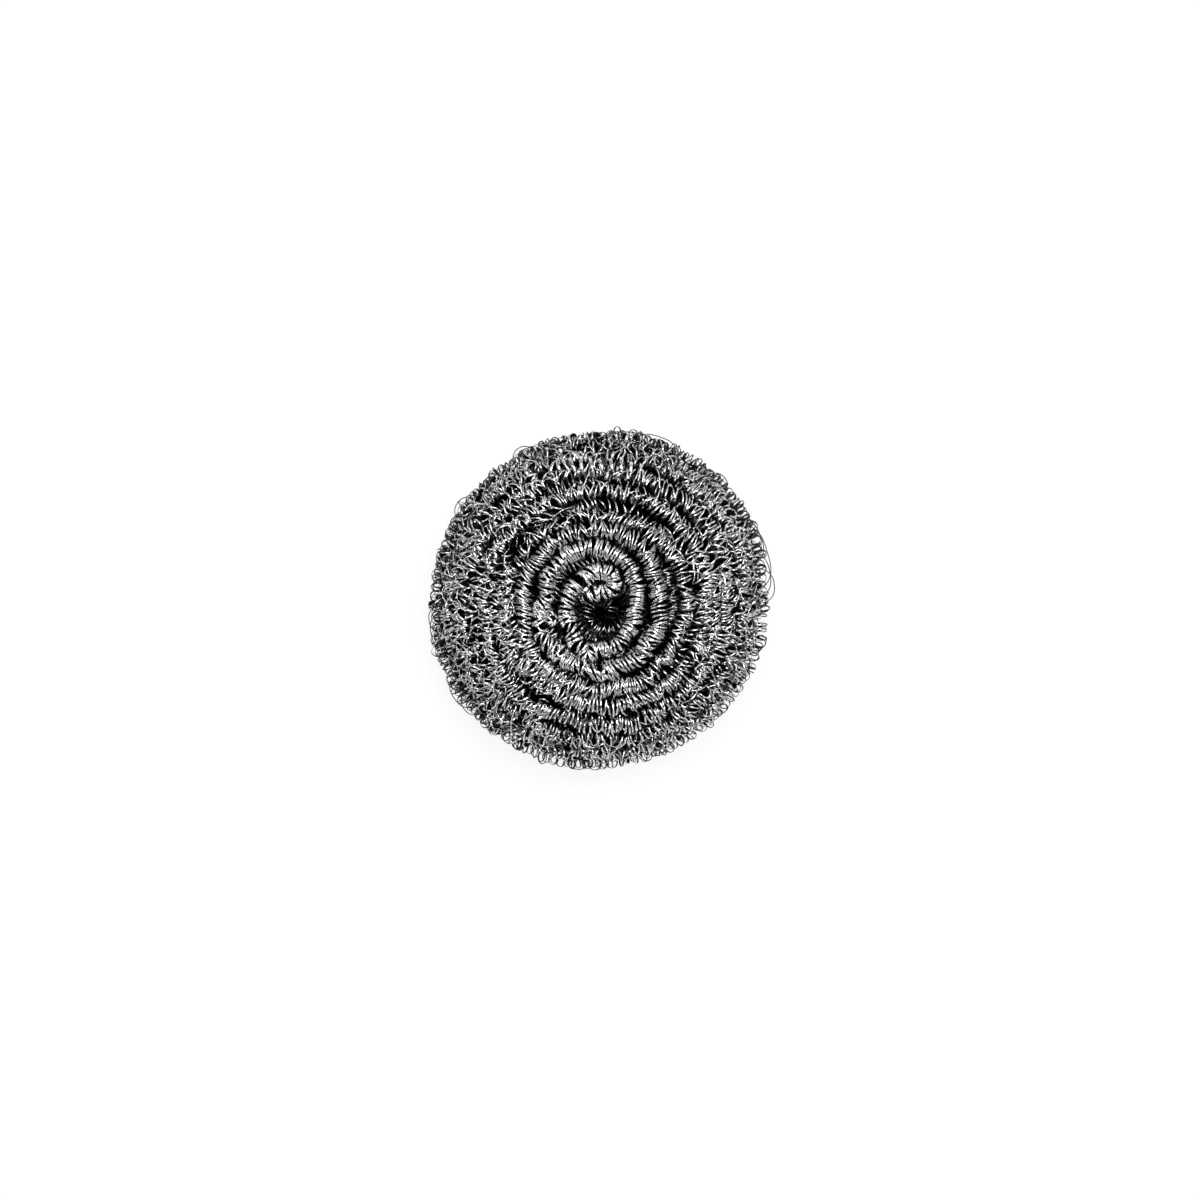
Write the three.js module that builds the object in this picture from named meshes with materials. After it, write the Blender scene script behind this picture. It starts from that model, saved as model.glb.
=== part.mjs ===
// Metal scourer: one length of flat steel wire, curled into a long open spring and wound turn upon turn into a
// bun-shaped pad. The winding starts on the floor of the dimple in the top, climbs out over the lip, runs down the
// dome and round the rim, and ends at a small eye in the middle of the underside. The pad cannot be seen through, so
// it is one solid: its skin is the outer half of the wound spring, turn lying against turn, with the spring's
// slanting loops standing up as ridges.
// Millimetres, +Z up. The pad lies on Z = 0 with its axis on Z.

import * as THREE from "three";

// The pad
const PAD_DIAMETER = 90; // over the loops at the rim
const PAD_HEIGHT = 42; // from the resting face to the loops on top
const RIM_HEIGHT = 18; // of the widest turn, above the resting face
const REST_DIAMETER = 50; // of the underside that is pressed flat

// The dimple in the top
const DIMPLE_MOUTH = 14; // clear width between the innermost turns
const DIMPLE_FLOOR = 8; // width of the floor
const DIMPLE_DEPTH = 15.5; // of the floor, below the loops on top
const LIP_RADIUS = 3; // of the edge that the winding rolls over
const DIMPLE_OFFSET_X = 0.9; // the dimple's centre lies off the pad's axis
const DIMPLE_OFFSET_Y = -2.4;

// The spring and its winding
const COIL_DIAMETER = 6.2; // of the curled wire
const TURN_OVERLAP = 0.2; // by which the loops of neighbouring turns reach into each other
const LOOP_PITCH = 4; // along the spring, from loop to loop
const LOOP_GAP_DEPTH = 2; // of the notch between two loops
const GROOVE_DEPTH = 3.4; // of the groove between two turns, below the tops of their loops
const PRESSED_MARGIN = 0.2; // by which the underside is flattened past the bottom of those notches
const EYE_DIAMETER = 5; // of the eye in the underside
const TURN_WANDER = 0.5; // how far a turn strays to either side of its lane
const WANDER_WAVES = 2.3; // strays in one turn, not a whole number, so that neighbouring turns differ

const FULL_TURN = 2 * Math.PI;
const FEWEST_STATIONS = 16; // in one turn, however small
const STATIONS_PER_LOOP = 2; // a loop and the notch beside it

// A loop is drawn as half a hexagon: it leaves one groove, bends at two shoulders and enters the next groove.
const INNER_SHOULDER = 0.25; // of the way from groove to groove
const OUTER_SHOULDER = 0.75;
const turnSpacing = COIL_DIAMETER - TURN_OVERLAP;

// The bed is the surface that the grooves between the turns lie on, one groove's depth inside the pad's outside.
const bedRadius = PAD_DIAMETER / 2 - GROOVE_DEPTH;
const bedTop = PAD_HEIGHT - GROOVE_DEPTH;
const bedBottom = GROOVE_DEPTH - LOOP_GAP_DEPTH - PRESSED_MARGIN;

// Half of the pad's section, from the dimple's floor to the eye: X is the radius and Y the height.
function bedProfile() {
  const floorHeight = PAD_HEIGHT - DIMPLE_DEPTH;
  const wallRadius = DIMPLE_MOUTH / 2 + GROOVE_DEPTH;
  const crestRadius = wallRadius + LIP_RADIUS;
  const restRadius = REST_DIAMETER / 2;
  const profile = new THREE.Path();
  profile.moveTo(DIMPLE_FLOOR / 2, floorHeight);
  profile.lineTo(wallRadius, bedTop - LIP_RADIUS);
  profile.absarc(crestRadius, bedTop - LIP_RADIUS, LIP_RADIUS, Math.PI, Math.PI / 2, true);
  profile.absellipse(
    crestRadius, RIM_HEIGHT, bedRadius - crestRadius, bedTop - RIM_HEIGHT, Math.PI / 2, 0, true);
  profile.absellipse(
    restRadius, RIM_HEIGHT, bedRadius - restRadius, RIM_HEIGHT - bedBottom, 0, -Math.PI / 2, true);
  profile.lineTo(EYE_DIAMETER / 2, bedBottom);
  return profile;
}

const bed = bedProfile();
const bedLength = bed.getLength();
const grooveEnd = (FULL_TURN * bedLength) / turnSpacing; // the angle at which the groove reaches the eye
const windingEnd = grooveEnd + FULL_TURN;

// Distance along the bed of the groove on the outer side of the winding, after turning through an angle.
function grooveAfter(turned) {
  const share = THREE.MathUtils.clamp(turned / grooveEnd, 0, 1);
  const wander = TURN_WANDER * Math.sin(Math.PI * share) * Math.sin(WANDER_WAVES * turned);
  return share * bedLength + wander;
}

// A point at a distance along the bed and at an angle, raised off the bed. Seen from above the winding runs
// anticlockwise. What would reach below the resting face is pressed flat on it.
function skinPoint(turned, along, rise = 0) {
  const share = along / bedLength;
  const spot = bed.getPoint(share);
  const heading = bed.getTangent(share);
  const radius = spot.x - rise * heading.y;
  const height = spot.y + rise * heading.x;
  const aboveRim = spot.y > RIM_HEIGHT;
  const shift = aboveRim ? 1 - (spot.x / bedRadius) ** 2 : 0;
  return new THREE.Vector3(
    radius * Math.cos(turned) + shift * DIMPLE_OFFSET_X,
    radius * Math.sin(turned) + shift * DIMPLE_OFFSET_Y,
    Math.max(0, height),
  );
}

// The angles from one to another at which a line round the pad has its points, half a loop apart.
function stationsBetween(start, end, alongAt) {
  const angles = [];
  let turned = start;
  while (turned < end) {
    angles.push(turned);
    const radius = bed.getPoint(alongAt(turned) / bedLength).x;
    turned += Math.min(LOOP_PITCH / STATIONS_PER_LOOP / radius, FULL_TURN / FEWEST_STATIONS);
  }
  return angles;
}

// The skin is put together from rows of points that run along the winding, bridged by triangles.
const points = [];
const triangles = [];

function addPoint(place) {
  points.push(place);
  return points.length - 1;
}

function addTriangle(a, b, c) {
  const collapsed = a === b || b === c || c === a;
  if (!collapsed) triangles.push(a, c, b);
}

// Joins two rows that run the same way, by stepping along whichever of them is behind.
function bridge(inner, outer) {
  let i = 0;
  let o = 0;
  while (i + 1 < inner.length || o + 1 < outer.length) {
    const outerIsDone = o + 1 === outer.length;
    const innerIsBehind = i + 1 < inner.length && (outerIsDone || inner[i + 1].turned <= outer[o + 1].turned);
    if (innerIsBehind) {
      addTriangle(inner[i].point, inner[i + 1].point, outer[o].point);
      i += 1;
    } else {
      addTriangle(inner[i].point, outer[o + 1].point, outer[o].point);
      o += 1;
    }
  }
}

// A row along the bed itself: the groove, or the edge of the floor or of the eye.
function bedRow(start, end, alongAt) {
  return stationsBetween(start, end, alongAt).map((turned) => ({
    turned,
    point: addPoint(skinPoint(turned, alongAt(turned))),
  }));
}

// A shoulder of a loop. The lane of the first and of the last turn tapers to nothing, and its loops with it.
function shoulder(turned, across, notch) {
  const laneStart = grooveAfter(turned - FULL_TURN);
  const laneWidth = grooveAfter(turned) - laneStart;
  const fullness = Math.min(1, laneWidth / turnSpacing);
  const rise = (GROOVE_DEPTH - notch) * fullness;
  return { turned, point: addPoint(skinPoint(turned, laneStart + across * laneWidth, rise)) };
}

// The two rows of shoulders, with a loop at every other station and a notch between. A loop slants as the spring
// does: its outer shoulder lies further along than its inner one.
function shoulderRows() {
  const laneMiddle = (turned) => (grooveAfter(turned - FULL_TURN) + grooveAfter(turned)) / 2;
  const angles = stationsBetween(0, windingEnd, laneMiddle).slice(1);
  const notchAt = (station) => (station % STATIONS_PER_LOOP === 1 ? LOOP_GAP_DEPTH : 0);
  const slantAt = (station) => ((angles[station + 1] ?? windingEnd) - angles[station]) / 2;
  return {
    inner: angles.map((turned, n) => shoulder(turned, INNER_SHOULDER, notchAt(n))),
    outer: angles.map((turned, n) => shoulder(turned + slantAt(n), OUTER_SHOULDER, notchAt(n))),
  };
}

// Closes a ring of points with a fan round its centre.
function closeRing(ring, centre, upward) {
  const middle = addPoint(centre);
  ring.forEach((spoke, n) => {
    const next = ring[(n + 1) % ring.length];
    if (upward) addTriangle(middle, next.point, spoke.point);
    else addTriangle(middle, spoke.point, next.point);
  });
}

function windingGeometry() {
  const groove = bedRow(0, grooveEnd, grooveAfter);
  groove.push({ turned: grooveEnd, point: addPoint(skinPoint(grooveEnd, bedLength)) });
  const first = groove[0].point;
  const last = groove.at(-1).point;
  const floorEdge = [groove[0], ...bedRow(0, FULL_TURN, () => 0).slice(1)];
  const eyeEdge = [groove.at(-1), ...bedRow(grooveEnd, windingEnd, () => bedLength).slice(1)];

  // Each turn's inner edge is the outer edge of the turn before it.
  const turnLater = groove.map(({ turned, point }) => ({ turned: turned + FULL_TURN, point }));
  const innerEdge = [...floorEdge, ...turnLater];
  const outerEdge = [...groove, ...eyeEdge.slice(1), { turned: windingEnd, point: last }];
  const shoulders = shoulderRows();
  const ends = [{ turned: 0, point: first }, { turned: windingEnd, point: last }];
  const innerShoulders = [ends[0], ...shoulders.inner, ends[1]];
  const outerShoulders = [ends[0], ...shoulders.outer, ends[1]];

  bridge(innerEdge, innerShoulders);
  bridge(innerShoulders, outerShoulders);
  bridge(outerShoulders, outerEdge);
  closeRing(floorEdge, new THREE.Vector3(DIMPLE_OFFSET_X, DIMPLE_OFFSET_Y, PAD_HEIGHT - DIMPLE_DEPTH), true);
  closeRing(eyeEdge, new THREE.Vector3(0, 0, bedBottom), false);

  const geometry = new THREE.BufferGeometry().setFromPoints(points);
  geometry.setIndex(triangles);
  geometry.computeVertexNormals();
  return geometry;
}

const steel = new THREE.MeshStandardMaterial({ color: 0xb4b6b8, metalness: 1, roughness: 0.3, flatShading: true });
const winding = new THREE.Mesh(windingGeometry(), steel);
winding.name = "wound_wire";

const scourer = new THREE.Group();
scourer.name = "metal_scourer";
scourer.add(winding);

export default scourer;
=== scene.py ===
# %% [markdown]
# A metal scourer is one long strip of stainless steel, here about 0.4 mm wide for the most part. The strip
# is curled into a spring about 5 mm thick, and the spring is wound turn upon turn into a bun with a dimple
# in its top. The CAD model holds the bun as one ridged solid. This lesson puts the real wire in its
# place: lanes are drawn over the bun, a strip is curled into a straight spring, its loops are ruffled,
# and the spring is laid along a lane. Lengths are written in millimetres, and MM turns them into
# Blender's metres.

import math
import bpy
import numpy as np
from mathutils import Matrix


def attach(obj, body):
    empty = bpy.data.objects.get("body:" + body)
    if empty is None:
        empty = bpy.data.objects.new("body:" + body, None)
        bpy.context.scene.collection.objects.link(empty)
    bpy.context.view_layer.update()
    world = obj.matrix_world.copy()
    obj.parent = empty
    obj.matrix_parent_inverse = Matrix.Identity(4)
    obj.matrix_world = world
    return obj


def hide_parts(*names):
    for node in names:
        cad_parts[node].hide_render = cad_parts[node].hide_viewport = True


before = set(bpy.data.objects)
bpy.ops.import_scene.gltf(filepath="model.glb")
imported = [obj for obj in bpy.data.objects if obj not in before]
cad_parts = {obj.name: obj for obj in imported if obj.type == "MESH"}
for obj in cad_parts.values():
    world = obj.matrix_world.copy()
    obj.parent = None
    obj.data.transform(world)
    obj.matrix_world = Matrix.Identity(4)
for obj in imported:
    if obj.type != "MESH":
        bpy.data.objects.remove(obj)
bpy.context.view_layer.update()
MM = 0.001

# %% [markdown]
# The bun's outside is the path that the spring follows. Half of its section is drawn once: a crown that
# falls to the widest turn at the rim, a tighter curve under it, and a flat where the pad lies on the
# table. An inset draws the same section a little further in, for the layers of wire that lie under the
# skin.

# %% Half of the bun's section
RIM_RADIUS = 40.4
RIM_HEIGHT = 18.0
CROWN_RADIUS = 11.3
CROWN_HEIGHT = 39.6
REST_RADIUS = 25.0
REST_HEIGHT = 2.0
EYE_RADIUS = 2.5
ARC_STEPS = 90


def bun_section(inset):
    rim = RIM_RADIUS - inset
    crown = CROWN_HEIGHT - inset
    rest = REST_HEIGHT + inset
    upper = np.linspace(math.pi / 2, 0, ARC_STEPS, endpoint=False)
    lower = np.linspace(0, -math.pi / 2, ARC_STEPS + 1)
    radii = [CROWN_RADIUS + (rim - CROWN_RADIUS) * np.cos(upper)]
    radii += [REST_RADIUS + (rim - REST_RADIUS) * np.cos(lower), [EYE_RADIUS]]
    heights = [RIM_HEIGHT + (crown - RIM_HEIGHT) * np.sin(upper)]
    heights += [RIM_HEIGHT + (RIM_HEIGHT - rest) * np.sin(lower), [rest]]
    radius, height = np.concatenate(radii), np.concatenate(heights)
    steps = np.hypot(np.diff(radius), np.diff(height))
    run = np.concatenate([[0], np.cumsum(steps)])
    return run, radius, height


print("from crown to eye the skin runs", round(bun_section(0)[0][-1], 1), "mm")

# %% [markdown]
# A lane is a curve that a spring will follow. By hand it would be a path with its points dragged into
# place; here the places come from a list. Each point carries a tilt, so that the outer side of the spring
# stays outside where the lane goes round the rim and under the pad. Z-Up keeps the spring from rolling on
# its own. The lanes are kept in a list, because they are deleted once the wire lies on them.

# %% Draw a lane
LANE_STEP = 1.2
LONGEST_TURN = 0.3

lanes = []


def start_lane(name):
    curve = bpy.data.curves.new(name, "CURVE")
    curve.dimensions = "3D"
    curve.twist_mode = "Z_UP"
    return curve


def link_lane(name, curve):
    lane = bpy.data.objects.new(name, curve)
    bpy.context.collection.objects.link(lane)
    lanes.append(lane)
    length = curve.splines[0].calc_length() / MM
    print(name, "is", round(length), "mm long")
    return lane, length


def draw_lane(name, places, leans):
    curve = start_lane(name)
    spline = curve.splines.new("POLY")
    spline.points.add(len(places) - 1)
    for knot, place, lean in zip(spline.points, places, leans):
        knot.co = (place[0] * MM, place[1] * MM, place[2] * MM, 1)
        knot.tilt = lean
    return link_lane(name, curve)


# %% [markdown]
# The spring winds anticlockwise from the dimple, one row beside the other, down over the rim and in again
# under the pad. A hand-wound pad is never even: each row strays to the sides and up and down, the rows
# near the top lie round the dimple, which is off the middle, and the whole bun is a little oval. The
# loose rows on top also rise at the left and the right and sink at the front and the back, where the
# grooves between the rows show.

# %% Lanes that wind over the bun
ROW_SPACING = 6.0
SECOND_SPACING = 5.2
SECOND_INSET = 2.6
LOOSE_INSET = 0.4
DIMPLE_X = 0.4
DIMPLE_Y = -1.8
OVAL_ANGLE = math.radians(42)
OVAL = 0.014
SLOPE_REACH = 0.5
STRAY_WAVE = 2.3
STRAY_PHASE = 1
STRAY_RIPPLE = 5.7
RIPPLE_SHARE = 0.7
LIFT_WAVE = 3.1
LIFT_PHASE = 2
LIFT_SWELL = 0.83
SIDES_LEVEL = 0.4


def oval_radius(radius, angle):
    outward = (radius / RIM_RADIUS) ** 2
    return radius * (1 + OVAL * math.cos(2 * (angle - OVAL_ANGLE)) * outward)


def skin_at(section, along):
    run, radii, heights = section
    radius, height = np.interp(along, run, radii), np.interp(along, run, heights)
    either_side = [along - SLOPE_REACH, along + SLOPE_REACH]
    widths, levels = np.interp(either_side, run, radii), np.interp(either_side, run, heights)
    return radius, height, math.atan2(levels[0] - levels[1], widths[1] - widths[0])


def wound_lane(name, inset, spacing, first_radius, first_angle, stray, lift, sides=0.0):
    section = bun_section(inset)
    run, radii = section[:2]
    begin = np.interp(first_radius, radii[:ARC_STEPS], run[:ARC_STEPS])
    turned = 0.0
    places, leans = [], []
    while True:
        along = begin + spacing * turned / math.tau
        wave = math.sin(STRAY_WAVE * turned + STRAY_PHASE)
        along += stray * (wave + RIPPLE_SHARE * math.sin(STRAY_RIPPLE * turned))
        if along >= run[-1]:
            break
        radius, height, lean = skin_at(section, along)
        angle = first_angle + turned
        rise = lift * math.sin(LIFT_WAVE * turned + LIFT_PHASE) * math.sin(LIFT_SWELL * turned)
        rise += sides * (math.cos(2 * angle) - SIDES_LEVEL)
        radius += rise * math.sin(lean)
        height += rise * math.cos(lean)
        shift = max(0, 1 - (radius / RIM_RADIUS) ** 2) if height > RIM_HEIGHT else 0
        wide = oval_radius(radius, angle)
        x = wide * math.cos(angle) + DIMPLE_X * shift
        y = wide * math.sin(angle) + DIMPLE_Y * shift
        places.append((x, y, height))
        leans.append(lean)
        turned += min(LANE_STEP / max(radius, 1), LONGEST_TURN)
    return draw_lane(name, places, leans)


skin_lane, skin_length = wound_lane(
    "skin_lane", 0, ROW_SPACING, first_radius=21.0, first_angle=math.radians(-4), stray=0.3, lift=0.5)
loose_lane = wound_lane(
    "loose_lane", LOOSE_INSET, ROW_SPACING, first_radius=20.5, first_angle=math.radians(170), stray=1.0,
    lift=1.2, sides=1.1)[0]
second_lane, second_length = wound_lane(
    "second_lane", SECOND_INSET, SECOND_SPACING, first_radius=12.0, first_angle=1.0, stray=0.6, lift=0.6)

# %% [markdown]
# The innermost rows are what one looks at first, and they do not lie evenly: the spring's free end is
# curled up on the dimple's edge, and the first turn has a sharp corner. So this lane is placed point by
# point and smoothed with automatic handles, as one would place a path by hand over a photograph. Three
# short lanes fill gaps beside it. The crown is nearer to the camera than the rim and looks 3% larger
# there, so the places are drawn in by as much.

# %% The lanes placed point by point round the dimple
INNER_PLACES = [(-4.0, 1.2, 35.0), (-2.0, 1.6, 36.8), (0.4, 1.8, 37.8), (2.6, 2.6, 38.3),
                (3.5, 4.6, 38.6), (2.6, 6.8, 38.8), (0.5, 7.6, 38.7), (-2.2, 6.9, 38.5),
                (-5.3, 4.5, 38.4), (-7.8, 1.0, 38.5), (-8.6, -2.4, 38.6), (-8.1, -6.2, 38.8),
                (-7.0, -9.8, 38.9), (-5.7, -12.9, 38.9), (-3.6, -14.4, 38.9), (-1.2, -13.4, 38.9),
                (1.4, -12.8, 38.9), (4.0, -11.5, 38.8), (6.5, -9.2, 38.8), (8.3, -6.4, 38.8),
                (9.2, -3.2, 38.8), (9.7, 0.4, 38.7), (9.5, 4.2, 38.6), (8.0, 8.0, 38.6),
                (5.4, 11.2, 38.8), (1.6, 13.2, 39.0), (-2.8, 13.8, 39.2), (-7.4, 12.0, 39.3),
                (-11.2, 8.4, 39.4), (-13.8, 4.0, 39.5), (-14.9, -0.6, 39.5), (-15.6, -5.4, 39.5),
                (-15.0, -9.8, 39.5), (-11.8, -13.6, 39.5), (-7.4, -16.6, 39.5), (-2.4, -18.4, 39.5),
                (3.0, -18.4, 39.5), (8.4, -16.2, 39.4), (12.4, -12.2, 39.3), (14.7, -7.2, 39.2),
                (15.3, -2.0, 39.1), (15.1, 3.6, 39.0), (14.0, 9.2, 39.0), (10.6, 14.2, 39.1),
                (5.8, 17.4, 39.2), (0.6, 18.3, 39.2), (-4.8, 18.2, 39.2), (-10.4, 16.0, 39.1),
                (-15.4, 11.8, 39.0), (-18.8, 6.2, 38.9), (-20.2, -0.2, 38.8), (-19.8, -6.6, 38.8),
                (-17.8, -12.6, 38.8), (-14.2, -17.6, 38.8), (-9.4, -21.2, 38.7), (-3.8, -23.2, 38.6),
                (2.0, -23.3, 38.6), (8.4, -21.8, 38.5), (14.0, -18.2, 38.4), (18.4, -13.0, 38.3),
                (21.0, -7.0, 38.2), (22.0, -3.0, 38.2)]
GAP_PLACES = [
    [(-13.2, -1.0, 36.8), (-12.6, -3.8, 38.4), (-11.6, -6.8, 38.6)],
    [(3.6, -15.1, 36.0), (8.0, -13.2, 36.6), (11.0, -10.4, 36.6), (12.4, -6.6, 36.0)],
    [(17.6, 9.0, 36.6), (18.5, 4.0, 37.0), (18.4, -1.5, 37.0), (17.4, -7.0, 36.8), (15.2, -11.8, 36.6)]]
PLACED_SMOOTHNESS = 16
NEARER = 0.97


def smooth_path(curve, places, lean=0.0):
    spline = curve.splines.new("BEZIER")
    spline.bezier_points.add(len(places) - 1)
    for knot, place in zip(spline.bezier_points, places):
        knot.co = [measure * MM for measure in place]
        knot.tilt = lean
        knot.handle_left_type = "AUTO"
        knot.handle_right_type = "AUTO"


def placed_lane(name, places, lean=0.0, nearer=NEARER):
    curve = start_lane(name)
    curve.resolution_u = PLACED_SMOOTHNESS
    smooth_path(curve, [(x * nearer, y * nearer, z) for x, y, z in places], lean)
    return link_lane(name, curve)


inner_lane, inner_length = placed_lane("inner_lane", INNER_PLACES)
gap_lanes = [placed_lane(f"gap_lane_{number}", places) for number, places in enumerate(GAP_PLACES)]

# %% [markdown]
# Some wire has sprung out and lies on top of the rows: patches of hay, whose short sticks point every
# way, a row of wide pale strips at the back, and a few long open loops at the right. The hay's lanes run
# to and fro along the rows without leaning over with the slope, so that its loops stand upright and look
# like straight sticks. A patch is given by its first and last angle, its inner and outer radius and its
# number of rows.

# %% Short lanes on top of the rows
HAY_RISE = 1.4
HAY_STEP = 5.0
ROW_PATCHES = [(178, 244, 23, 35, 6), (122, 162, 25, 35, 5), (-34, 6, 26, 35, 4)]
EDGE_PATCHES = [(112, 428, 36, 39.4, 3), (66, 114, 38, 39.8, 2)]
PALE_PLACES = [(12.0, 33.6, 31.2), (6.0, 34.8, 31.6), (0.0, 35.0, 31.8), (-5.0, 35.0, 31.6),
               (-10.5, 34.4, 31.2)]
PALE_LEAN = 0.4
OPEN_PLACES = [(29.6, -0.5, 34.8), (30.4, 4.0, 35.0), (30.4, 8.0, 35.0), (29.6, 12.5, 34.6)]
OPEN_LEAN = 0.5


def over_bun(radius, angle, rise):
    width, height = RIM_RADIUS - CROWN_RADIUS, CROWN_HEIGHT - RIM_HEIGHT
    slope = math.acos((radius - CROWN_RADIUS) / width)
    out, up = math.cos(slope) / width, math.sin(slope) / height
    raised = rise / math.hypot(out, up)
    wide = radius + out * raised
    level = RIM_HEIGHT + height * math.sin(slope) + up * raised
    return wide * math.cos(angle), wide * math.sin(angle), level


def hay_places(first_angle, last_angle, inner, outer, rows):
    places = []
    for row in range(rows):
        radius = inner + (outer - inner) * row / (rows - 1)
        count = int(math.radians(last_angle - first_angle) * radius / HAY_STEP)
        angles = np.radians(np.linspace(first_angle, last_angle, count))
        for angle in angles if row % 2 == 0 else reversed(angles):
            places.append(over_bun(radius, angle, HAY_RISE))
    return places


hay_lanes = []
for number, patch in enumerate(ROW_PATCHES + EDGE_PATCHES):
    hay_lanes.append(placed_lane(f"hay_lane_{number}", hay_places(*patch), nearer=1.0))
pale_lane, pale_length = placed_lane("pale_lane", PALE_PLACES, PALE_LEAN)
open_lane, open_length = placed_lane("open_lane", OPEN_PLACES, OPEN_LEAN)

# %% [markdown]
# Three more lanes complete the pad. The well goes round the dimple's floor and up its wall, the deck
# fills the middle of the pad so that no light comes through it, and the hoop runs round the rim, for the
# open loops that stand out there.

# %% Lanes in the dimple, in the middle and round the rim
WELL_X = 1.0
WELL_Y = -2.6
WELL_FLOOR = 25.5
WELL_START = 1.6
WELL_RADIUS = 8.4
WELL_FLOOR_TURNS = 1.4
WELL_TURNS = 3.2
WELL_CLIMB = 4.8
WELL_TIPPING = 3
WELL_STEP = 1
WELL_LONGEST_TURN = 0.25
DECK_HEIGHT = 19.0
HOOP_RADIUS = 42.7
HOOP_WOBBLE = 0.3
HOOP_WAVE = 3.7


def well_lane():
    turned = 0.0
    places, leans = [], []
    while turned < WELL_TURNS * math.tau:
        climbed = max(0, turned / math.tau - WELL_FLOOR_TURNS)
        radius = WELL_START + (WELL_RADIUS - WELL_START) * min(1, turned / math.tau / WELL_FLOOR_TURNS)
        x, y = radius * math.cos(turned) + WELL_X, radius * math.sin(turned) + WELL_Y
        places.append((x, y, WELL_FLOOR + WELL_CLIMB * climbed))
        leans.append(-math.pi / 2 * min(1, WELL_TIPPING * climbed))
        turned += min(WELL_STEP / radius, WELL_LONGEST_TURN)
    return draw_lane("well_lane", places, leans)


def deck_lane(first, last, spacing):
    turned = 0.0
    radius = first
    places = []
    while radius < last:
        places.append((radius * math.cos(turned), radius * math.sin(turned), DECK_HEIGHT))
        turned += min(LANE_STEP / radius, LONGEST_TURN)
        radius = first + spacing * turned / math.tau
    return draw_lane("deck_lane", places, [0] * len(places))


def hoop_lane(low, high, turns, first_angle):
    count = int(turns * math.tau * HOOP_RADIUS / LANE_STEP)
    places = []
    for step in range(count + 1):
        share = step / count
        angle = first_angle + share * turns * math.tau
        radius = oval_radius(HOOP_RADIUS, angle) + HOOP_WOBBLE * math.sin(HOOP_WAVE * angle)
        places.append((radius * math.cos(angle), radius * math.sin(angle), low + (high - low) * share))
    return draw_lane("hoop_lane", places, [math.pi / 2] * len(places))


well, well_length = well_lane()
deck, deck_length = deck_lane(first=1.5, last=36, spacing=5)
hoop, hoop_length = hoop_lane(low=16.5, high=21, turns=1.6, first_angle=0.3)

# %% [markdown]
# The curled strip starts as a plane without its face: the outline of the strip's section. The Screw
# modifier sweeps it round and along the X axis into a straight spring, as a machine curls the real strip,
# and the two open ends are filled, so that the mesh is closed.

# %% Curl a strip into a straight spring
STRIP_THICKNESS = 0.12
STRIP_CORNERS = 4


def curl_strip(name, begin, turns, pitch, radius, width, steps):
    bpy.ops.object.select_all(action="DESELECT")
    bpy.ops.mesh.primitive_plane_add(size=1)
    spring = bpy.context.object
    spring.name = name
    bpy.ops.object.mode_set(mode="EDIT")
    bpy.ops.mesh.delete(type="ONLY_FACE")
    bpy.ops.mesh.select_all(action="SELECT")
    bpy.ops.transform.resize(value=(width * MM, STRIP_THICKNESS * MM, 1))
    bpy.ops.transform.translate(value=(begin * MM, radius * MM, 0))
    bpy.ops.object.mode_set(mode="OBJECT")
    curl = spring.modifiers.new("Curl", "SCREW")
    curl.axis = "X"
    curl.screw_offset = pitch * MM
    curl.iterations = turns
    curl.steps = steps
    curl.render_steps = steps
    bpy.ops.object.modifier_apply(modifier="Curl")
    bpy.ops.object.mode_set(mode="EDIT")
    bpy.ops.mesh.select_all(action="SELECT")
    bpy.ops.mesh.fill_holes(sides=STRIP_CORNERS)
    bpy.ops.mesh.normals_make_consistent(inside=False)
    bpy.ops.object.mode_set(mode="OBJECT")
    return spring


# %% [markdown]
# A used-looking spring is not a neat screw. The strip rolls over along its length, each loop is turned
# its own way, some loops stand further out, and they crowd together in places, gather in threes and gape
# in others. Calm and rough stretches follow each other. Sculpting every loop by hand would take days, so
# the loops are moved by seeded random numbers that change from loop to loop. The upper half of a loop
# turns as a whole, because the wire is stiff, and the change to the next loop is hidden in the lower
# half. Before that, each point keeps how high it stands on the spring, by which the material paints shade
# on the low side of each loop. Each EVERY below counts loops from one random number to the next.

# %% Ruffle the loops of a spring
HEIGHT_NAME = "height"
ROUGH_EVERY = 45
ROUGH_CHANGE = 0.5
ROUGH_LEAST = 0.45
ROUGH_MOST = 1.7
TWIST_EVERY = 0.18
PATCH_EVERY = 30
TURN_OF_LOOP = 0.34
TURN_OF_PATCH = 0.2
NOD_OF_LOOP = 0.04
NOD_OF_PATCH = 0.12
BUNCH_EVERY = 7
BUNCH_PITCHES = 4
GATHERED = 3
GATHER_EVERY = 9
GATHER_SLIP = 0.3
WANDER_EVERY = 2.5
WANDER_SIDEWAYS = 0.35
WANDER_UP = 0.25


def read_places(piece):
    place = np.empty(len(piece.data.vertices) * 3, np.float32)
    piece.data.vertices.foreach_get("co", place)
    return place


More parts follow.
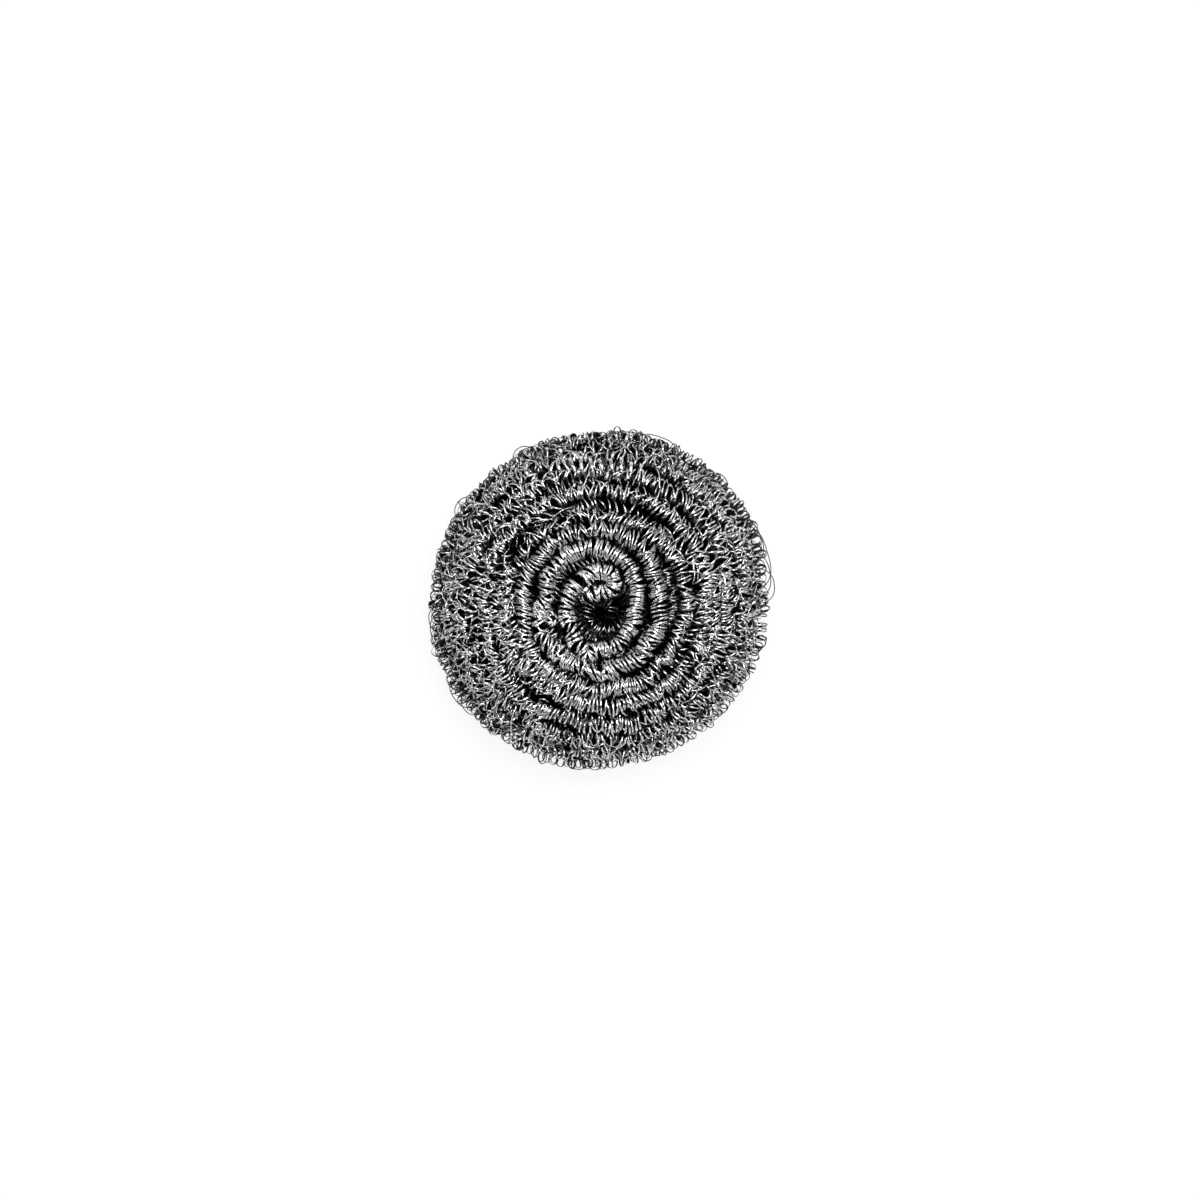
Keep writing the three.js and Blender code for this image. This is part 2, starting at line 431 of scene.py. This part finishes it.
def ruffle(spring, begin, turns, pitch, radius, mess, lean, bunch, size, flat, gather, twist, seed):
    place = read_places(spring)
    x, y, z = place[0::3], place[1::3], place[2::3]
    # The material paints its shade by this height: low on the loop is painted dark.
    mark = spring.data.attributes.new(HEIGHT_NAME, "FLOAT", "POINT")
    mark.data.foreach_set("value", z / (radius * MM))
    rng = np.random.default_rng(seed)
    loop = (x / MM - begin) / pitch
    whole = np.floor(loop)
    stiff = whole + np.clip(2 * (loop - whole) - 1, 0, 1)
    messy = np.interp(loop, [0, turns], mess)

    def noise(where, every, amount):
        knots = np.arange(-1, turns / every + 3) * every
        return np.interp(where, knots, rng.normal(0, amount, len(knots)))

    def drift(every, amount):
        return noise(stiff, every, amount)

    # The strip rolls about its own length.
    rough = np.clip(np.exp(drift(ROUGH_EVERY, ROUGH_CHANGE)), ROUGH_LEAST, ROUGH_MOST)
    across = x.reshape(-1, STRIP_CORNERS)
    offset = (across - across.mean(axis=1, keepdims=True)).ravel()
    reach = np.hypot(y, z)
    depth = reach - radius * MM
    roll = rough * noise(loop, TWIST_EVERY, twist)
    x += offset * (np.cos(roll) - 1) - depth * np.sin(roll)
    swell = (radius * MM + offset * np.sin(roll) + depth * np.cos(roll)) / reach
    y *= swell
    z *= swell

    # The loops grow, turn, nod, crowd, gather and wander.
    hay = messy * rough
    grow = 1 + drift(1, size)
    y *= grow
    z *= grow * flat
    turn = lean + hay * drift(1, TURN_OF_LOOP) + drift(PATCH_EVERY, TURN_OF_PATCH)
    nod = hay * drift(1, NOD_OF_LOOP) + drift(PATCH_EVERY, NOD_OF_PATCH)
    x += y * np.sin(turn) + z * nod + drift(BUNCH_EVERY, bunch * pitch * BUNCH_PITCHES) * MM
    y *= np.cos(turn)
    slip = np.round(stiff) / GATHERED + drift(GATHER_EVERY, GATHER_SLIP)
    x -= gather * pitch * np.sin(math.tau * slip) * MM
    y += messy * drift(WANDER_EVERY, WANDER_SIDEWAYS) * MM
    z += messy * drift(WANDER_EVERY, WANDER_UP) * MM
    spring.data.vertices.foreach_set("co", place)


# %% [markdown]
# Now the straight spring is laid along a lane with the Curve modifier, and a Displace modifier with a
# soft cloud pushes whole bunches of loops about, which no curve could do. Both are applied. What would
# hang through the table is pressed flat on it, as the pad's own weight does.

# %% Lay a spring along a lane
JUMBLE_SIZE = 12.0
JUMBLE_CONTRAST = 1.6
PRESS_HEIGHT = 1.5


def lay_spring(spring, lane, jumble):
    wind = spring.modifiers.new("Wind", "CURVE")
    wind.object = lane
    cloud = bpy.data.textures.new(spring.name + "_cloud", "CLOUDS")
    cloud.noise_scale = JUMBLE_SIZE * MM
    cloud.noise_depth = 1
    cloud.cloud_type = "COLOR"
    cloud.contrast = JUMBLE_CONTRAST
    push = spring.modifiers.new("Jumble", "DISPLACE")
    push.texture = cloud
    push.direction = "RGB_TO_XYZ"
    push.strength = jumble * MM
    bpy.ops.object.modifier_apply(modifier="Wind")
    bpy.ops.object.modifier_apply(modifier="Jumble")
    bpy.ops.object.shade_smooth()
    place = read_places(spring)
    z = place[2::3]
    soft = PRESS_HEIGHT * MM
    low = z < soft
    z[low] = soft * np.exp((z[low] - soft) / soft)
    spring.data.vertices.foreach_set("co", place)
    spring.data.update()


# %% [markdown]
# Steel strip is one metal all over, but it does not look so: the side of each loop that lies deep in the
# pad sees only other wire and turns black, which is painted here into the colour as shade, the rolled face
# has dull and bright stretches and small kinks, and handling leaves a faint film. One node group holds
# that, so that the bright skin and the inside, painted dark as shade, share it. It reads the kept height
# for the painted shade at the roots, and noise on Object coordinates for the film, the rolled streaks and
# the kinks.

# %% A node group for the finish and the painted shade of the strip
FILM_SCALE = 220
FILM_DETAIL = 3
FILM_START = 0.35
FILM_FULL = 0.7
FILM_DIMMING = 0.82
STREAK_SCALE = 900
STREAK_DETAIL = 2
STREAK_START = 0.3
STREAK_FULL = 0.7
KINK_SCALE = 1100
KINK_DETAIL = 1
FINISH_INPUTS = [("Root Height", "NodeSocketFloat"), ("Tip Height", "NodeSocketFloat"),
                 ("Root Color", "NodeSocketColor"), ("Tip Color", "NodeSocketColor"),
                 ("Smooth", "NodeSocketFloat"), ("Dull", "NodeSocketFloat")]
FINISH_OUTPUTS = [("Color", "NodeSocketColor"), ("Roughness", "NodeSocketFloat"),
                  ("Kinks", "NodeSocketFloat")]


def strip_finish_and_shade_group():
    group = bpy.data.node_groups.new("strip_finish_and_shade", "ShaderNodeTree")
    for name, kind in FINISH_INPUTS:
        group.interface.new_socket(name, in_out="INPUT", socket_type=kind)
    for name, kind in FINISH_OUTPUTS:
        group.interface.new_socket(name, in_out="OUTPUT", socket_type=kind)
    nodes, links = group.nodes, group.links
    given, result = nodes.new("NodeGroupInput"), nodes.new("NodeGroupOutput")
    where = nodes.new("ShaderNodeTexCoord")

    def noise(scale, detail):
        node = nodes.new("ShaderNodeTexNoise")
        node.inputs["Scale"].default_value = scale
        node.inputs["Detail"].default_value = detail
        links.new(where.outputs["Object"], node.inputs["Vector"])
        return node.outputs["Fac"]

    # Painted shade: the colour goes from the dark Root Color low on each loop to the Tip Color at its top.
    height = nodes.new("ShaderNodeAttribute")
    height.attribute_name = HEIGHT_NAME
    painted_shade_mask = nodes.new("ShaderNodeMapRange")
    painted_shade_mask.interpolation_type = "SMOOTHSTEP"
    links.new(height.outputs["Fac"], painted_shade_mask.inputs["Value"])
    links.new(given.outputs["Root Height"], painted_shade_mask.inputs["From Min"])
    links.new(given.outputs["Tip Height"], painted_shade_mask.inputs["From Max"])

    filmed = nodes.new("ShaderNodeMapRange")
    filmed.inputs["From Min"].default_value = FILM_START
    filmed.inputs["From Max"].default_value = FILM_FULL
    filmed.inputs["To Min"].default_value = 1
    filmed.inputs["To Max"].default_value = FILM_DIMMING
    links.new(noise(FILM_SCALE, FILM_DETAIL), filmed.inputs["Value"])

    depth = nodes.new("ShaderNodeMix")
    depth.data_type = "RGBA"
    links.new(painted_shade_mask.outputs["Result"], depth.inputs["Factor"])
    links.new(given.outputs["Root Color"], depth.inputs["A"])
    links.new(given.outputs["Tip Color"], depth.inputs["B"])
    shade = nodes.new("ShaderNodeVectorMath")
    shade.operation = "SCALE"
    links.new(depth.outputs["Result"], shade.inputs["Vector"])
    links.new(filmed.outputs["Result"], shade.inputs["Scale"])
    links.new(shade.outputs["Vector"], result.inputs["Color"])

    rolled = nodes.new("ShaderNodeMapRange")
    rolled.inputs["From Min"].default_value = STREAK_START
    rolled.inputs["From Max"].default_value = STREAK_FULL
    links.new(noise(STREAK_SCALE, STREAK_DETAIL), rolled.inputs["Value"])
    links.new(given.outputs["Smooth"], rolled.inputs["To Min"])
    links.new(given.outputs["Dull"], rolled.inputs["To Max"])
    links.new(rolled.outputs["Result"], result.inputs["Roughness"])
    links.new(noise(KINK_SCALE, KINK_DETAIL), result.inputs["Kinks"])
    return group


strip_finish_and_shade = strip_finish_and_shade_group()
print("strip_finish_and_shade has", len(strip_finish_and_shade.nodes), "nodes")

# %% [markdown]
# Nine finishes come from the group, and each has shade painted into its colour. The ropes round the
# dimple, the rows, the rim and the hay at its edge are bright steel with roots painted dark as shade, and
# differ in how far down a loop the painted shade reaches. The few wide strips at the back are pale all
# over, with only a little shade painted at their roots. The open loops at the rim stand before the white
# table, where bare steel looks dark, so they are painted dark all over as shade. The wire in the dimple,
# in the grooves and inside the pad is painted darker too, as shade, because the little light that reaches
# it has bounced between many wires on its way.

# %% The nine finishes of the strip, with their painted shade
KINK_DEPTH = 0.3


def grey(level):
    return (level, level, level, 1)


def strip_material(name, heights, greys, roughness, kink_depth=KINK_DEPTH):
    material = bpy.data.materials.new(name)
    material.use_nodes = True
    nodes, links = material.node_tree.nodes, material.node_tree.links
    surface = nodes["Principled BSDF"]
    surface.inputs["Metallic"].default_value = 1
    finish = nodes.new("ShaderNodeGroup")
    finish.node_tree = strip_finish_and_shade
    finish.inputs["Root Height"].default_value = heights[0]
    finish.inputs["Tip Height"].default_value = heights[1]
    finish.inputs["Root Color"].default_value = grey(greys[0])
    finish.inputs["Tip Color"].default_value = grey(greys[1])
    finish.inputs["Smooth"].default_value = roughness[0]
    finish.inputs["Dull"].default_value = roughness[1]
    links.new(finish.outputs["Color"], surface.inputs["Base Color"])
    links.new(finish.outputs["Roughness"], surface.inputs["Roughness"])
    bump = nodes.new("ShaderNodeBump")
    bump.inputs["Strength"].default_value = 1
    bump.inputs["Distance"].default_value = kink_depth * MM
    links.new(finish.outputs["Kinks"], bump.inputs["Height"])
    links.new(bump.outputs["Normal"], surface.inputs["Normal"])
    print(name, "goes from grey", greys[0], "at the root to", greys[1], "at the tip")
    return material


ROLLED = (0.12, 0.24)
WORN = (0.14, 0.26)
DUSTY = (0.16, 0.28)
DULL = (0.2, 0.32)
# Each pair of greys is the painted shade at the root and the colour at the tip.
rope_strip = strip_material(
    "rope_strip", heights=(-0.1, 0.8), greys=(0.01, 0.9), roughness=WORN, kink_depth=0.06)
bright_strip = strip_material(
    "bright_strip", heights=(0.15, 0.9), greys=(0.01, 0.85), roughness=ROLLED)
row_strip = strip_material(
    "row_strip", heights=(0.28, 0.92), greys=(0.01, 0.86), roughness=ROLLED, kink_depth=0.2)
pale_strip = strip_material(
    "pale_strip", heights=(-1.2, 0.4), greys=(0.2, 0.8), roughness=WORN)
edge_strip = strip_material(
    "edge_strip", heights=(-0.8, 0.8), greys=(0.06, 0.76), roughness=ROLLED, kink_depth=0.2)
# Painted shade: dark all over, as bare steel looks before the white table.
rim_strip = strip_material(
    "rim_strip", heights=(-0.6, 0.6), greys=(0.01, 0.07), roughness=WORN)
# Painted shade: the well, under and inside wire are painted darker for the little light that reaches them.
well_strip = strip_material(
    "well_strip", heights=(-0.4, 0.8), greys=(0.01, 0.5), roughness=DUSTY)
under_strip = strip_material(
    "under_strip", heights=(0.3, 0.95), greys=(0.01, 0.36), roughness=DUSTY)
inside_strip = strip_material(
    "inside_strip", heights=(-0.3, 0.8), greys=(0.005, 0.05), roughness=DULL)

# %% [markdown]
# One call now makes a whole piece: it curls the strip, ruffles it, lays it on its lane, gives it its
# finish and says what it stands for. Every piece is part of the same wire, so each takes over from the
# one CAD solid. The span is the stretch of the lane that the piece takes, and mess goes from its first
# value to its second along it.

# %% Make one piece of the winding
COIL_RADIUS = 2.15


def dress(piece):
    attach(piece, "root")
    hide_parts("wound_wire")
    points = np.array([vertex.co for vertex in piece.data.vertices]) / MM
    triangles = sum(len(face.vertices) - 2 for face in piece.data.polygons)
    reach = np.hypot(points[:, 0], points[:, 1]).max()
    lowest, highest = points[:, 2].min(), points[:, 2].max()
    heights = f"{lowest:.1f} to {highest:.1f} mm"
    print(f"{piece.name}: {triangles} triangles, reach {reach:.1f}, height {heights}")


def wind_piece(name, lane, span, material, seed, pitch, width, mess, jumble, radius=COIL_RADIUS, steps=14,
               lean=0.0, bunch=0.3, size=0.08, flat=1.0, gather=0.0, twist=0.5):
    begin, end = span
    turns = int((end - begin) / pitch)
    spring = curl_strip(name, begin, turns, pitch, radius, width, steps)
    ruffle(spring, begin, turns, pitch, radius, mess, lean, bunch, size, flat, gather, twist, seed)
    lay_spring(spring, lane, jumble)
    spring.data.materials.append(material)
    dress(spring)


# %% [markdown]
# The turns round the dimple are the neatest: their loops lie close, so they read as a rope. The wire on
# the floor of the dimple is painted darker as shade, and is seen only as faint loops in the dark.

# %% The turns round the dimple and in it
CURL_END = 21
THIRD_TURN_RADIUS = 20.5
GAP_SEED = 20
third_begin = inner_length - math.tau * THIRD_TURN_RADIUS

wind_piece("curl_turns", inner_lane, (0, CURL_END), rope_strip, seed=12, pitch=0.84, width=0.62,
           mess=(0.4, 0.4), jumble=0.4, radius=2.5, steps=20, bunch=0.2, gather=0.25, twist=0.1)
wind_piece("inner_turns", inner_lane, (CURL_END, third_begin), rope_strip, seed=1, pitch=0.6, width=0.4,
           mess=(0.8, 1.2), jumble=1.0, radius=2.5, steps=18, bunch=0.6, gather=0.3, twist=0.2)
wind_piece("third_turn", inner_lane, (third_begin, inner_length), row_strip, seed=3, pitch=0.76, width=0.38,
           mess=(1.2, 1.3), jumble=1.0, radius=2.5, steps=16, twist=0.4)
for number, (lane, length) in enumerate(gap_lanes):
    finish = rope_strip if number == 0 else under_strip
    wind_piece(f"gap_turns_{number}", lane, (0, length), finish, seed=GAP_SEED + number, pitch=0.8,
               width=0.4, mess=(1.6, 1.6), jumble=0.6, radius=2.1, steps=16)
wind_piece("well_turns", well, (0, well_length), well_strip, seed=2, pitch=1.0, width=0.38,
           mess=(1.0, 1.2), jumble=1.4, radius=2.3, steps=16)

# %% [markdown]
# Further out the rows loosen. The spring is the same, but its loops lean more and its rows stray, so that
# the eye loses them, until only hay is left at the rim. The lane is cut into pieces, because each piece
# has to stay light enough to handle. The crown takes about two turns, whose radii give its length.

# %% The turns over the shoulder, round the rim and under the pad
CROWN_TURN_RADII = (23, 28)
SHOULDER_RUN = 460
RIM_RUN = 1320
crown_end = math.tau * sum(CROWN_TURN_RADII)
shoulder_end = crown_end + SHOULDER_RUN
rim_end = shoulder_end + RIM_RUN

wind_piece("crown_turns", skin_lane, (0, crown_end), row_strip, seed=4, pitch=0.86, width=0.38,
           mess=(1.2, 1.3), jumble=1.2, radius=2.5, steps=16, twist=0.4)
wind_piece("shoulder_turns", skin_lane, (crown_end, shoulder_end), row_strip, seed=5, pitch=0.95,
           width=0.38, mess=(1.3, 1.4), jumble=1.4, radius=2.6, steps=16, size=0.1)
wind_piece("rim_turns", skin_lane, (shoulder_end, rim_end), bright_strip, seed=6, pitch=1.0,
           width=0.36, mess=(1.8, 1.8), jumble=1.4, radius=2.1, lean=0.3, size=0.14)
wind_piece("underside_turns", skin_lane, (rim_end, skin_length), bright_strip, seed=7, pitch=1.0,
           width=0.36, mess=(1.0, 0.9), jumble=1.4, radius=2.0)

# %% [markdown]
# Loops that have sprung open lie across the rows and hide the grooves between them, and at the rim they
# stand out as open arches, thin against the light background. The hay at the edge shows the lower half of
# its loops too, so less shade is painted at its roots.

# %% Loose loops over the rows and round the rim
LOOSE_END = 1800
HAY_SEED = 30

wind_piece("loose_loops", loose_lane, (0, LOOSE_END), row_strip, seed=8, pitch=1.6, width=0.38,
           mess=(1.8, 1.8), jumble=2.0, radius=1.9, flat=0.9, size=0.15)
wind_piece("rim_loops", hoop, (0, hoop_length), rim_strip, seed=9, pitch=0.9, width=0.24,
           mess=(1.6, 1.6), jumble=0.7, radius=1.5, steps=18, lean=0.7, size=0.16, gather=0.7)
for number, (lane, length) in enumerate(hay_lanes):
    finish = row_strip if number < len(ROW_PATCHES) else edge_strip
    wind_piece(f"hay_loops_{number}", lane, (0, length), finish, seed=HAY_SEED + number, pitch=1.35,
               width=0.36, mess=(3.2, 3.2), jumble=1.6, radius=1.7, size=0.2, twist=0.3)
wind_piece("pale_loops", pale_lane, (0, pale_length), pale_strip, seed=40, pitch=2.0, width=0.8,
           mess=(0.9, 0.9), jumble=1.0, radius=2.75, steps=20, size=0.12)
wind_piece("open_loops", open_lane, (0, open_length), row_strip, seed=41, pitch=1.9, width=0.42,
           mess=(1.0, 1.0), jumble=1.0, radius=4.2, steps=20, flat=0.6, size=0.12)

# %% [markdown]
# A single wire is one smooth path with a round bevel. All the wires of a piece are made meshes and
# joined. They are marked at full height, so the finish paints no root shade on them and gives them its
# tip colour all over.

# %% Make a piece of single wires
WIRE_SMOOTHNESS = 6


def single_wire(places, thickness):
    curve = bpy.data.curves.new("wire", "CURVE")
    curve.dimensions = "3D"
    curve.bevel_depth = thickness / 2 * MM
    curve.bevel_resolution = 1
    curve.use_fill_caps = True
    curve.resolution_u = WIRE_SMOOTHNESS
    smooth_path(curve, places)
    wire = bpy.data.objects.new("wire", curve)
    bpy.context.collection.objects.link(wire)
    return wire


def join_wires(name, wires, material):
    bpy.ops.object.select_all(action="DESELECT")
    for wire in wires:
        wire.select_set(True)
    bpy.context.view_layer.objects.active = wires[0]
    bpy.ops.object.convert(target="MESH")
    bpy.ops.object.join()
    piece = bpy.context.object
    piece.name = name
    bpy.ops.object.shade_smooth()
    # Full height: no painted root shade, only the tip colour.
    mark = piece.data.attributes.new(HEIGHT_NAME, "FLOAT", "POINT")
    mark.data.foreach_set("value", np.ones(len(piece.data.vertices), np.float32))
    piece.data.materials.append(material)
    dress(piece)


# %% [markdown]
# A few long loops have slipped right out of the pad's side, and at the left and the right many a short
# length of wire lies straight across the rows. The long loops are placed as the photograph shows them,
# each by its middle angle, its span in degrees, its reach and its height. For the others seeded random
# numbers choose the place, the length and the direction.

# %% Long loops at the rim and wires across the rows
STRAYS = [(16, 22, 45.4, 20), (22, 16, 44.9, 23), (9, 15, 45.1, 17), (5, 11, 45.6, 21),
          (78, 18, 44.6, 19), (70, 16, 45.2, 22), (84, 10, 44.4, 16), (214, 12, 46.0, 18),
          (219, 9, 45.4, 21), (209, 8, 45.2, 20), (192, 14, 45.0, 19), (187, 10, 44.8, 22),
          (146, 9, 45.0, 20), (118, 8, 44.9, 21), (262, 9, 44.7, 18), (45, 8, 45.6, 20)]
STRAY_ROOT = 39.0
STRAY_THICKNESS = 0.26
STRAY_FOOT = 0.6
STRAY_KNEE = 0.45
FIRST_KNEE_DROP = 1.4
SECOND_KNEE_DROP = 1.6
STRAY_TILT = 1.5
STRAY_TILT_WAVE = 7.3
CROSSINGS = 260
CROSSING_SEED = 50
CROSSING_THICKNESS = 0.32
CROSSING_RADIUS = 38.6
CROSSING_INNER_SHARE = 0.3
CROSSING_SPREAD = 0.75
CROSSING_LEAST_HALF = 1
CROSSING_MOST_HALF = 3
CROSSING_RISE = 2.8
CROSSING_DIP = 1.2
CROSSING_LIMIT = 39


def stray_places(number, middle, span, reach, height):
    tilt = STRAY_TILT * math.sin(STRAY_TILT_WAVE * number)
    shape = [(-STRAY_FOOT, STRAY_ROOT), (-STRAY_KNEE, reach - FIRST_KNEE_DROP), (0, reach),
             (STRAY_KNEE, reach - SECOND_KNEE_DROP), (STRAY_FOOT, STRAY_ROOT)]
    places = []
    for side, radius in shape:
        angle = math.radians(middle + side * span)
        places.append((radius * math.cos(angle), radius * math.sin(angle), height + 2 * tilt * side))
    return places


def crossing_places(rng):
    radius = CROSSING_RADIUS * math.sqrt(rng.uniform(CROSSING_INNER_SHARE, 1))
    angle = rng.choice([0, math.pi]) + rng.normal(0, CROSSING_SPREAD)
    heading = rng.uniform(0, math.tau)
    half = rng.uniform(CROSSING_LEAST_HALF, CROSSING_MOST_HALF)
    places = []
    for side, dip in ((-1, CROSSING_DIP), (0, 0), (1, CROSSING_DIP)):
        x = radius * math.cos(angle) + side * half * math.cos(heading)
        y = radius * math.sin(angle) + side * half * math.sin(heading)
        out = min(math.hypot(x, y), CROSSING_LIMIT)
        places.append(over_bun(out, math.atan2(y, x), CROSSING_RISE - dip))
    return places


rng = np.random.default_rng(CROSSING_SEED)
strays = [single_wire(stray_places(number, *stray), STRAY_THICKNESS) for number, stray in enumerate(STRAYS)]
join_wires("stray_loops", strays, rim_strip)
crossings = [single_wire(crossing_places(rng), CROSSING_THICKNESS) for _ in range(CROSSINGS)]
join_wires("crossing_wires", crossings, bright_strip)

# %% [markdown]
# Under the skin lies more of the same wire. A second layer and a deck across the middle are enough to
# close every gap between the loops, so that one looks into wire painted dark as shade and never through
# the pad. Then the lanes have done their work.

# %% The wire inside the pad
wind_piece("second_turns", second_lane, (0, second_length), under_strip, seed=10, pitch=1.2, width=0.4,
           mess=(1.4, 1.4), jumble=1.6, radius=2.4, steps=12)
wind_piece("deck_turns", deck, (0, deck_length), inside_strip, seed=11, pitch=1.1, width=0.55,
           mess=(1.0, 1.0), jumble=1.6, radius=2.6, steps=10)
for lane in lanes:
    bpy.data.objects.remove(lane)

# %% [markdown]
# The pad lies on a white table, as in a product picture. The table is white paint that also glows for the
# camera and for reflections, so it comes out white without more light on the pad. The glow stops under
# the pad, and a part of the paint shows everywhere, so the pad's shadow stays. The table's own sizes are
# in metres.

# %% The table
TABLE_WIDTH = 30
TABLE_GREY = 0.9
TABLE_ROUGHNESS = 0.9
TABLE_GLOW = 0.85
GLOW_START = 0.030
GLOW_FULL = 0.046


def table_material():
    material = bpy.data.materials.new("white_table")
    material.use_nodes = True
    nodes, links = material.node_tree.nodes, material.node_tree.links
    paint = nodes["Principled BSDF"]
    paint.inputs["Base Color"].default_value = grey(TABLE_GREY)
    paint.inputs["Roughness"].default_value = TABLE_ROUGHNESS
    glow = nodes.new("ShaderNodeEmission")
    blend = nodes.new("ShaderNodeMixShader")
    path = nodes.new("ShaderNodeLightPath")
    place = nodes.new("ShaderNodeTexCoord")
    distance = nodes.new("ShaderNodeVectorMath")
    distance.operation = "LENGTH"
    clear = nodes.new("ShaderNodeMapRange")
    clear.interpolation_type = "SMOOTHSTEP"
    clear.inputs["From Min"].default_value = GLOW_START
    clear.inputs["From Max"].default_value = GLOW_FULL
    clear.inputs["To Max"].default_value = TABLE_GLOW
    seen, mirrored, lit = (nodes.new("ShaderNodeMath") for _ in range(3))
    seen.operation = "MAXIMUM"
    mirrored.operation = "MAXIMUM"
    lit.operation = "MULTIPLY"
    links.new(path.outputs["Is Camera Ray"], seen.inputs[0])
    links.new(path.outputs["Is Glossy Ray"], seen.inputs[1])
    links.new(seen.outputs[0], mirrored.inputs[0])
    links.new(path.outputs["Is Transmission Ray"], mirrored.inputs[1])
    links.new(place.outputs["Object"], distance.inputs[0])
    links.new(distance.outputs["Value"], clear.inputs["Value"])
    links.new(clear.outputs["Result"], lit.inputs[0])
    links.new(mirrored.outputs[0], lit.inputs[1])
    links.new(lit.outputs[0], blend.inputs[0])
    links.new(paint.outputs[0], blend.inputs[1])
    links.new(glow.outputs[0], blend.inputs[2])
    links.new(blend.outputs[0], nodes["Material Output"].inputs[0])
    return material


bpy.ops.object.select_all(action="DESELECT")
bpy.ops.mesh.primitive_plane_add(size=TABLE_WIDTH)
table = bpy.context.object
table.name = "table"
table.data.materials.append(table_material())

# %% [markdown]
# A disc lamp over the pad and five softboxes around it give each loop short bright strokes with dark
# between them, whichever way it faces, and a dim grey world keeps the rest from going black. The camera
# looks straight down through a long lens, from where the pad fills as much of the frame as in the
# photograph. Places and widths are in metres here, and the lens and the sensor in millimetres.

# %% Light and camera
WORLD_GREY = 0.03
LAMP_WIDTH = 1.0
LAMP_POWER = 22.5
LAMP_PLACE = (0.1, 0.25, 1.3)
BOX_COUNT = 5
BOX_WIDTH = 0.5
BOX_HEIGHT = 0.7
BOX_POWER = 1.7
BOX_DISTANCE = 1.0
BOX_LEVEL = 0.55
BOX_SHIFT = 0.4
PAD_WIDTH = 0.090
FRAME_PIXELS = 1200
PAD_PIXELS = 344
LENS = 85
SENSOR = 36

world = bpy.data.worlds.new("studio")
world.use_nodes = True
world.node_tree.nodes["Background"].inputs["Color"].default_value = grey(WORLD_GREY)
bpy.context.scene.world = world


def add_lamp(name, shape, width, height, power, place):
    bpy.ops.object.light_add(type="AREA", location=place)
    lamp = bpy.context.object
    lamp.name = name
    lamp.data.shape = shape
    lamp.data.size = width
    lamp.data.size_y = height
    lamp.data.energy = power
    lamp.rotation_euler = lamp.location.to_track_quat("Z", "Y").to_euler()


add_lamp("top_lamp", "DISK", LAMP_WIDTH, LAMP_WIDTH, LAMP_POWER, LAMP_PLACE)
for number in range(BOX_COUNT):
    angle = math.tau * (number + BOX_SHIFT) / BOX_COUNT
    place = (BOX_DISTANCE * math.cos(angle), BOX_DISTANCE * math.sin(angle), BOX_LEVEL)
    add_lamp(f"softbox_{number}", "RECTANGLE", BOX_WIDTH, BOX_HEIGHT, BOX_POWER, place)

frame_width = PAD_WIDTH * FRAME_PIXELS / PAD_PIXELS
camera_height = RIM_HEIGHT * MM + frame_width * LENS / SENSOR
bpy.ops.object.camera_add(location=(0, 0, camera_height), rotation=(0, 0, 0))
camera = bpy.context.object
camera.data.lens = LENS
camera.data.sensor_width = SENSOR
bpy.context.scene.camera = camera
bpy.context.scene.view_settings.view_transform = "Standard"
print("camera", round(camera_height, 3), "m over the table")
